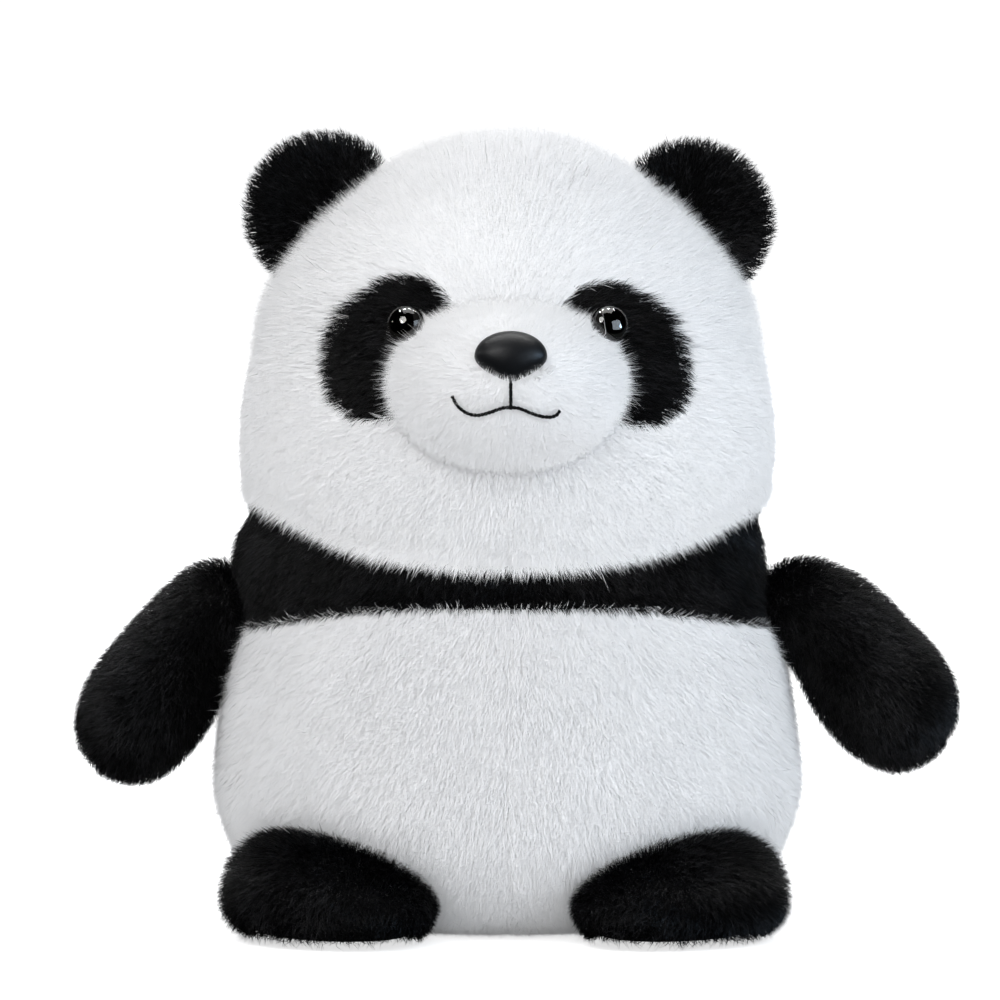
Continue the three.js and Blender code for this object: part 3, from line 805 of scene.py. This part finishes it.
class Eye:
    """Where an eye sits and which way it looks."""

    def __init__(self, name, side):
        self.axis = unit(np.array([side * 0.42, -1.0, 0.42]))
        lens = np.array([v.co for v in NODES[f"{name}_eye_lens"].data.vertices]) / M
        along = lens @ self.axis
        self.centre = lens[along < along.min() + 0.2].mean(0)
        u = unit(np.cross([0, 0, 1.0], self.axis))
        self.frame = (u, np.cross(self.axis, u), self.axis)


EYE_R, EYE_DOME, EYE_COLUMNS = 6.0, 4.6, 64
EYES = {name: Eye(name, side) for name, side in SIDES.items()}
ARM_PIVOT = {name: np.array(JOINTS[f"{name}_arm_raise"]["pos_m"]) / M for name in SIDES}


def dome_profile(radius, base, height, start, steps):
    """A dome's profile from the angle start up to its top, for a turned shape."""
    angles = np.linspace(start, math.pi / 2 - 0.02, steps)
    return [(radius * math.cos(a), base + height * math.sin(a)) for a in angles]


def build_eye(name):
    """A black disc with a stem and a lighter ring round its rim, under a clear dome."""
    eye = EYES[name]
    rim = EYE_R + 0.15
    disc = [(1.6, -14), (1.6, -1.2), (EYE_R - 0.4, -1.2), (rim, -0.6), (rim, -0.02)]
    disc += dome_profile(EYE_R - 0.12, 0.1, EYE_DOME - 0.4, 0, 22)
    points, faces = turned(disc, EYE_COLUMNS)
    corners = [points[list(f)] for f in faces]
    middle = np.array([np.hypot(c[:, 0], c[:, 1]).mean() for c in corners])
    high = np.array([c[:, 2].mean() for c in corners])
    ring = (middle > EYE_R * 0.66) & (high > 0.05)
    materials = [MATERIAL["pupil"], MATERIAL["iris"]]
    obj = mesh_object(f"{name}_eye_disc", placed(points, eye.frame, eye.centre), faces, materials)
    obj.data.polygons.foreach_set("material_index", ring.astype(np.int32))
    fitted(obj, "torso", "eye_black", f"{name}_eye_pupil")
    dome = [(EYE_R - 0.1, 0.0), (EYE_R, 0.15)] + dome_profile(EYE_R, 0.3, EYE_DOME - 0.3, 0.02, 26)
    points, faces = turned(dome, EYE_COLUMNS)
    points = placed(points, eye.frame, eye.centre)
    obj = mesh_object(f"{name}_eye_dome", points, faces, [MATERIAL["glass"]])
    fitted(obj, "torso", "eye_lens", f"{name}_eye_lens")
    PARTINGS.append((eye.centre, eye.axis, EYE_R + 0.8, 0.93))


for name in SIDES:
    build_eye(name)

# ----------------------------------------
# Nose, mouth and muzzle

NOSE_HALF, NOSE_TAPER = (11.5, 8.2, 6.5), 0.5  # half width, height and depth; taper to the chin
NOSE_OUT = unit(np.array([0.0, -1.0, 0.45]))
MUZZLE_INSET = 2.0


def muzzle_front(x, z, lift):
    """How far forward the muzzle reaches at x and z, lifted off its fabric."""
    a, b, c = MUZZLE_HALF + lift
    return MUZZLE_CENTRE[1] - b * math.sqrt(1 - (x / a) ** 2 - ((z - MUZZLE_CENTRE[2]) / c) ** 2)


NOSE_Z = 190.1
OFF_CENTRE = 1.0  # the nose and mouth are sewn on a little to one side
NOSE_CENTRE = np.array([OFF_CENTRE, muzzle_front(0, NOSE_Z, 0), NOSE_Z])


def build_nose():
    a, c, b = NOSE_HALF
    points, faces = rounded(np.array([a, c, b]), 48, 72)
    low = np.maximum(-points[:, 1] / c, 0)
    points[:, 0] *= 1 - NOSE_TAPER * low**2
    u = np.array([1.0, 0, 0])
    axes = (u, np.cross(NOSE_OUT, u), NOSE_OUT)
    obj = mesh_object("nose_button", placed(points, axes, NOSE_CENTRE), faces, [MATERIAL["nose"]])
    fitted(obj, "torso", "nose_plastic", "nose")


def tube(points, radius, sides=6):
    """Points and faces of a tube along a path, closed at both ends."""
    path = np.asarray(points, float)
    radius = np.broadcast_to(radius, (len(path),))
    along = unit(np.gradient(path, axis=0))
    u = unit(np.cross(along, [0.3, 1.0, 0.2]))
    v = np.cross(along, u)
    angle = np.arange(sides) / sides * 2 * math.pi
    ring = u[:, None] * np.cos(angle)[None, :, None] + v[:, None] * np.sin(angle)[None, :, None]
    return (path[:, None] + ring * radius[:, None, None]).reshape(-1, 3), grid_faces(len(path), sides)


def joined(pieces):
    points, faces, start = [], [], 0
    for p, f in pieces:
        points.append(p)
        faces += [tuple(int(i) + start for i in face) for face in f]
        start += len(p)
    return np.vstack(points), faces


STITCH, THREAD_R = 2.4, 0.35


def stitches(path, out):
    """Back stitches of two-ply thread along a path; out points off the fabric."""
    length = np.concatenate([[0], np.cumsum(np.linalg.norm(np.diff(path, axis=0), axis=1))])
    count = max(1, round(length[-1] / STITCH))
    pieces = []
    for i in range(count):
        at = np.linspace(i - 0.12, i + 1.12, 12) / count * length[-1]
        centre = np.stack([np.interp(at, length, path[:, k]) for k in range(3)], axis=1)
        t = np.linspace(0, 1, 12)
        rise = (np.sin(t * math.pi) ** 0.5)[:, None]
        centre = centre + out * (0.9 * rise - 0.7)
        along = unit(np.gradient(centre, axis=0))
        side = unit(np.cross(along, out))
        for ply in (0, math.pi):
            turn = (t * 2.2 * math.pi + ply)[:, None]
            twist = side * np.cos(turn) + out * np.sin(turn)
            pieces.append(tube(centre + twist * THREAD_R * 0.75, THREAD_R))
    return pieces


# The mouth's line as (distance from its middle, height), with a corner and a shape for each side.
MOUTH_LINE = [(0, 174.4), (3, 173.9), (6.5, 172.5), (10, 171.6)]
MOUTH_CORNER = {
    -1: [(13.2, 172.3), (15.8, 174.4), (17.4, 177.3)],
    1: [(12.6, 171.6), (14.3, 172.3), (15.4, 173.7)],
}
MOUTH_DROOP, MOUTH_STRETCH = {-1: 0.0, 1: 0.004}, {-1: 1.06, 1: 1.0}
MOUTH_LIP = [(0, 173.8), (0, 178.4), (0, 182.8)]
MOUTH_LIFT = 1.3
MOUTH_OUT = np.array([0.0, -1.0, 0.0])


def mouth_paths():
    """Both sides of the mouth and the line up to the nose, just above the fabric of the muzzle."""

    def on_muzzle(points, side):
        x, z = catmull_rom(points, 6).T
        z = z - MOUTH_DROOP[side] * x**2
        x = x * MOUTH_STRETCH[side]
        path = [(side * a + OFF_CENTRE, muzzle_front(a, b, MOUTH_LIFT), b) for a, b in zip(x, z)]
        return np.array(path)

    corners = [on_muzzle(MOUTH_LINE + MOUTH_CORNER[side], side) for side in (1, -1)]
    return corners + [on_muzzle(MOUTH_LIP, 1)]


def build_mouth():
    pieces = [piece for path in mouth_paths() for piece in stitches(path, MOUTH_OUT)]
    points, faces = joined(pieces)
    obj = mesh_object("mouth_stitches", points, faces, [MATERIAL["black_thread"]])
    fitted(obj, "torso", "black_thread", "mouth_embroidery")


MUZZLE_DENSITY, MUZZLE_RADIUS = 9.0, 0.08  # finer and denser pile than on the head


def build_muzzle():
    points, faces = rounded(MUZZLE_HALF - MUZZLE_INSET, 40, 72)
    skin = Skin(points + MUZZLE_CENTRE, faces)
    skin = puffed(skin, smooth(-62, -54, skin.points[:, 1]), cap=0.8)
    obj = mesh_object("muzzle_backing", skin.points, skin.quads, [MATERIAL["white_backing"]])
    fitted(obj, "torso", "white_plush")
    rng = np.random.default_rng(21)
    root, normal = skin.sample(MUZZLE_DENSITY, rng)
    keep = root[:, 1] < -50
    flat = (root - NOSE_CENTRE) @ np.array([[1.0, 0, 0], np.cross(NOSE_OUT, [1.0, 0, 0])]).T
    keep &= np.hypot(flat[:, 0] / (NOSE_HALF[0] - 1.5), flat[:, 1] / (NOSE_HALF[1] - 1.5)) > 1
    thread = np.vstack(mouth_paths())
    gap = np.min([np.hypot(root[:, 0] - t[0], root[:, 2] - t[2]) for t in thread], axis=0)
    keep &= gap > 0.25
    root, normal = root[keep], normal[keep]
    out = root - NOSE_CENTRE
    rim = smooth(18, 36, np.linalg.norm(out, axis=1))
    wide, high = (root[:, 0] - OFF_CENTRE) / NOSE_HALF[0], (root[:, 2] - NOSE_Z) / NOSE_HALF[1]
    under_nose = (np.hypot(wide, high) < 1.3) & (root[:, 2] < NOSE_Z - 4)
    fringe = under_nose & (rng.random(len(root)) < 0.6)  # laid over the lower edge of the nose
    flow = unit(np.where(fringe[:, None], -out, out))
    fluff = rng.random(len(root)) < 0.07 * smooth(24, 34, np.abs(out[:, 0]))
    length = 4.6 + 3.4 * rim + 1.2 * fringe + 2.0 * fluff
    lean = np.array([20.0 - 10 * fringe - 14 * fluff, 58.0 - 24 * fringe - 30 * fluff])
    for side, sign in SIDES.items():
        pick = (root[:, 0] > 0) == (sign > 0)
        pile(
            f"{side}_muzzle_pile", "torso", "white",
            root[pick], normal[pick], flow[pick], 300 + sign, length[pick], lean[:, pick],
            replaces=["muzzle_cover"] if sign > 0 else (), radius=MUZZLE_RADIUS,
        )


build_nose()
build_mouth()
torso = build_torso()
build_torso_pile(torso)
build_muzzle()

# ----------------------------------------
# Arms

# Fabric of an arm, [radius, distance from the shoulder]; it starts inside the body.
ARM_FABRIC = [
    (0.5, -10.5), (7.0, -9.0), (11.0, -3.0), (12.0, 4.0), (12.6, 12.0), (14.2, 21.0),
    (15.8, 31.0), (16.0, 42.0), (13.4, 53.0), (7.6, 59.6), (0.5, 62.0),
]
ARM_LENGTH, FOOT_LENGTH, EAR_LENGTH = 6.2, 5.4, 5.6
LIMB_DENSITY, EAR_DENSITY = 3.4, 3.8
LIMB_LEAN, EAR_LEAN = (20.0, 56.0), (18.0, 56.0)
ARM_BEND = {"left": 4.0, "right": 1.8}  # how far the tip hangs in towards the body
ARM_CROWN = {"left": 3.4, "right": 1.2}  # how far the stuffing rises over the shoulder
ARM_THICK, ARM_DEPTH = {"left": 1.12, "right": 1.04}, 0.9975  # shares of the profile's radius


def build_arm(name, side):
    pivot = ARM_PIVOT[name]
    co = np.array([v.co for v in NODES[f"{name}_arm_stuffing"].data.vertices]) / M
    out = unit(co.mean(0) - pivot)
    across = np.array([0.0, 1.0, 0.0])
    points, faces = turned(catmull_rom(ARM_FABRIC, 5), 48)
    points[:, 1] *= ARM_DEPTH
    up = unit(np.cross(out, across)) * side
    far = points[:, 2]
    upper = np.exp(-(((far - 12) / 13) ** 2))  # the padded upper arm
    points[:, 0] *= ARM_THICK[name] + 0.05 * upper
    points[:, 0] += ARM_CROWN[name] * upper - ARM_BEND[name] * np.clip(far / 60, 0, 1.1) ** 2
    skin = Skin(placed(points, (up, across, out), pivot), faces)
    skin = puffed(skin, 1 - smooth(0.8, 4.0, np.abs(skin.points[:, 1] - pivot[1])), cap=1.0)
    obj = mesh_object(f"{name}_arm_backing", skin.points, skin.quads, [MATERIAL["black_backing"]])
    fitted(obj, f"{name}_arm", "black_plush", f"{name}_arm_back")
    rng = np.random.default_rng(31 if side > 0 else 32)
    root, normal = skin.sample(LIMB_DENSITY, rng)
    down = np.array([side * 0.15, 0.0, -0.25])
    flow = unit(out + down + 0.35 * unit(root - pivot - dot(root - pivot, out) * out))
    along = (root - pivot) @ out
    shoulder = smooth(14, 0, along)
    pile(
        f"{name}_arm_pile", f"{name}_arm", "black",
        root, normal, flow, 400 if side > 0 else 420, ARM_LENGTH + 0.5 * shoulder, LIMB_LEAN,
        replaces=[f"{name}_arm_front"],
    )


# ----------------------------------------
# Feet

FOOT_HALF, FOOT_MIDDLE, FOOT_REACH = np.array([36.0, 27.0, 20.6]), 13.2, 80.0
FOOT_INSET, FOOT_SOLE = 1.8, 1.6
FOOT_SET = {"left": -2.0, "right": 0.0}
FOOT_BRUSHED_FROM = (62.0, 18.0)  # the pile lies away from this reach and height


def build_foot(name, side):
    axis = np.array(JOINTS[f"{name}_foot_flex"]["axis"])
    out = np.array([-axis[1], axis[0], 0.0])
    if out[1] > 0:
        out = -out
    sideways = np.array([-out[1], out[0], 0.0])
    points, faces = rounded(FOOT_HALF - FOOT_INSET, 34, 64)
    high = points[:, 2] + FOOT_MIDDLE - FOOT_SOLE
    points[:, 2] = FOOT_SOLE + (high + np.sqrt(high**2 + 14.0)) / 2
    place = out * FOOT_REACH + np.array([FOOT_SET[name], 0, 0])
    points = placed(points, (sideways, out, np.array([0, 0, 1.0])), place)
    outward = np.clip((points[:, 0] - place[0]) * side / 30, -1.2, 1.2)
    points[:, 2] += 4.0 * outward * smooth(6, 30, points[:, 2])
    skin = Skin(points, faces)
    skin = puffed(skin, 1 - smooth(3.0, 6.0, skin.points[:, 2]), cap=1.0)
    obj = mesh_object(f"{name}_foot_backing", skin.points, skin.quads, [MATERIAL["black_backing"]])
    fitted(obj, f"{name}_foot", "black_plush", f"{name}_foot_sole")
    rng = np.random.default_rng(41 if side > 0 else 42)
    root, normal = skin.sample(LIMB_DENSITY, rng)
    keep = normal[:, 2] > -0.8
    root, normal = root[keep], normal[keep]
    from_here = out * FOOT_BRUSHED_FROM[0] + np.array([0, 0, FOOT_BRUSHED_FROM[1]])
    flow = unit(unit(root - from_here) + np.array([0, 0, -0.3]))
    outer = smooth(-5, 28, root[:, 0] * side - 55) * smooth(2, 12, root[:, 2])
    pile(
        f"{name}_foot_pile", f"{name}_foot", "black",
        root, normal, flow, 500 if side > 0 else 520, FOOT_LENGTH + 3.0 * outer,
        (LIMB_LEAN[0], LIMB_LEAN[1] - 14 * outer), replaces=[f"{name}_foot_upper"],
    )


# ----------------------------------------
# Ears

EAR_R, EAR_HALF, EAR_INSET = 24.5, 6.5, 1.6
EAR_SET = {"left": (-0.2, -0.4), "right": (1.0, 2.1)}  # sewn on a little out of true


def build_ear(name, side):
    joint = JOINTS[f"{name}_ear_fold"]
    axis = unit(np.array(joint["axis"]))
    centre = np.array(joint["pos_m"]) / M + np.array([EAR_SET[name][0], 0, EAR_SET[name][1]])
    out = np.array([-axis[2], 0.0, axis[0]])
    if out[2] < 0:
        out = -out
    across = np.array([0.0, 1.0, 0.0])
    r, half = EAR_R - EAR_INSET, EAR_HALF - EAR_INSET
    points, faces = rounded(np.array([r, r, half]), 28, 64)
    low = points[:, 1] < 0
    points[low, 1] *= (half + 3) / r
    points[:, 2] *= np.where(low, 1.4, 1.0)
    skin = Skin(placed(points, (axis, out, across), centre), faces)
    skin = puffed(skin, 1 - smooth(0.5, 2.0, np.abs(skin.points[:, 1] - centre[1])), cap=0.8)
    obj = mesh_object(f"{name}_ear_backing", skin.points, skin.quads, [MATERIAL["black_backing"]])
    fitted(obj, f"{name}_ear", "black_plush", f"{name}_ear_back")
    rng = np.random.default_rng(51 if side > 0 else 52)
    root, normal = skin.sample(EAR_DENSITY, rng)
    keep = (root - centre) @ out > -3.0
    root, normal = root[keep], normal[keep]
    pile(
        f"{name}_ear_pile", f"{name}_ear", "black",
        root, normal, unit(root - centre + out * 14), 600 if side > 0 else 620, EAR_LENGTH,
        EAR_LEAN, replaces=[f"{name}_ear_front"],
    )


for name, side in SIDES.items():
    build_arm(name, side)
    build_foot(name, side)
    build_ear(name, side)

# ----------------------------------------
# Parts that stay as the frame has them

SETTLED, EAR_SETTLED = 3.0, 1.2  # how far the stuffing has sunk from the fabric
KEPT = {
    "stuffing": ["head_stuffing", "body_stuffing", "muzzle_stuffing"]
    + [f"{s}_{part}" for s in SIDES for part in ("arm_stuffing", "foot_stuffing", "ear_padding")],
    "washer": ["nose_washer"] + [f"{s}_eye_washer" for s in SIDES],
    "black_thread": [f"{s}_shoulder_seam" for s in SIDES],
    "white_thread": ["closing_seam_thread"],
}


def dress_kept_parts():
    """Their own materials, and the stuffing sunk a little, so that it can't show through the pile."""
    for key, names in KEPT.items():
        for name in names:
            mesh = NODES[name].data
            mesh.materials.clear()
            mesh.materials.append(MATERIAL[key])
            if key == "stuffing":
                settled = NODES[name].modifiers.new("settled", "DISPLACE")
                settled.mid_level = 0.0
                settled.strength = -M * (EAR_SETTLED if name.endswith("ear_padding") else SETTLED)


dress_kept_parts()

# ----------------------------------------
# Floor, light and camera


def build_floor():
    """A white floor that glows to the camera, but only faintly on the toy."""
    corners = [(-6000, -6000, 0), (6000, -6000, 0), (6000, 9000, 0), (-6000, 9000, 0)]
    floor = mesh_object("floor", corners, [(0, 1, 2, 3)], [], smooth_faces=False)
    n = Nodes("floor")
    n.set(Base_Color=(0.93, 0.93, 0.93, 1), Roughness=0.9, Specular_IOR_Level=0.0)
    n.set(Emission_Color=(1, 1, 1, 1))
    path = n.add("ShaderNodeLightPath")
    glow = n.mapped(0.15, 0.7)
    n.link(path.outputs["Is Camera Ray"], glow.inputs["Value"])
    n.link(glow.outputs["Result"], n.bsdf.inputs["Emission Strength"])
    floor.data.materials.append(n.material)
    floor.visible_glossy = False


def build_world():
    """A pale sky, white to the camera and not mirrored in the eyes and the nose."""
    world = bpy.data.worlds.new("studio")
    bpy.context.scene.world = world
    world.use_nodes = True
    tree = world.node_tree
    background = tree.nodes["Background"]
    background.inputs["Color"].default_value = (0.97, 0.98, 1.0, 1)
    seen, strength = (tree.nodes.new(f"ShaderNode{kind}") for kind in ("LightPath", "MapRange"))
    strength.inputs["To Min"].default_value, strength.inputs["To Max"].default_value = 0.44, 1.1
    tree.links.new(seen.outputs["Is Camera Ray"], strength.inputs["Value"])
    tree.links.new(strength.outputs["Result"], background.inputs["Strength"])
    world.cycles_visibility.glossy = False


def area(name, place, size, power, colour=(1, 1, 1), diffuse=True, glossy=True):
    """A lamp that faces the toy: a disc when it has one size, an oblong when it has two."""
    light = bpy.data.lights.new(name, "AREA")
    light.shape = "DISK" if len(size) == 1 else "RECTANGLE"
    light.size, light.size_y = size[0], size[-1]
    light.energy = power
    light.color = colour
    obj = link(bpy.data.objects.new(name, light))
    obj.location = place
    aim = Vector((0, 0, 0.13)) - obj.location
    obj.rotation_euler = aim.to_track_quat("-Z", "Y").to_euler()
    obj.visible_diffuse = diffuse
    obj.visible_glossy = glossy


def build_lamps():
    area("key", (-0.7, -1.0, 1.1), (0.8,), 8.5)
    area("front", (0.0, -2.2, 0.9), (1.0, 1.0), 18.0, glossy=False)
    area("fill", (1.1, -0.9, 0.5), (1.0, 1.0), 9.0, (0.78, 0.89, 1.0))
    area("rear", (0.3, 1.9, 0.9), (1.2, 1.2), 16.0)
    area("top", (0.0, 0.2, 1.6), (1.2, 1.2), 8.0)
    # Small lamps that only show as glints in the eyes, on the nose and on the black pile.
    area("lamp", (-0.62, -0.9, 0.75), (0.11,), 2.4, diffuse=False)
    area("small_lamp", (-1.2, 0.1, 0.6), (0.08,), 1.4, diffuse=False)
    area("side_window", (1.2, -0.45, 0.35), (0.18, 0.34), 7.0, (0.5, 0.72, 1.0), diffuse=False)
    for i in range(4):
        area(f"pane_{i}", (-0.6 + 0.36 * i, 0.3, 1.2), (0.26, 0.05), 2.5, diffuse=False)


def build_camera():
    camera = bpy.data.cameras.new("camera")
    camera.sensor_width = 36.0
    camera.lens = 800.0
    camera.clip_start = 0.1
    camera.clip_end = 100.0
    obj = link(bpy.data.objects.new("camera", camera))
    across = 0.320  # width of the view at the middle of the toy
    distance = across * camera.lens / camera.sensor_width
    elevation = math.radians(5.0)
    aim = np.array([-0.0024, 0.0, 0.1365])
    obj.location = aim + np.array([0, -math.cos(elevation), math.sin(elevation)]) * distance
    obj.rotation_euler = (math.pi / 2 - elevation, 0, 0)
    bpy.context.scene.camera = obj


build_floor()
build_world()
build_lamps()
build_camera()
bpy.context.scene.view_settings.view_transform = "Standard"
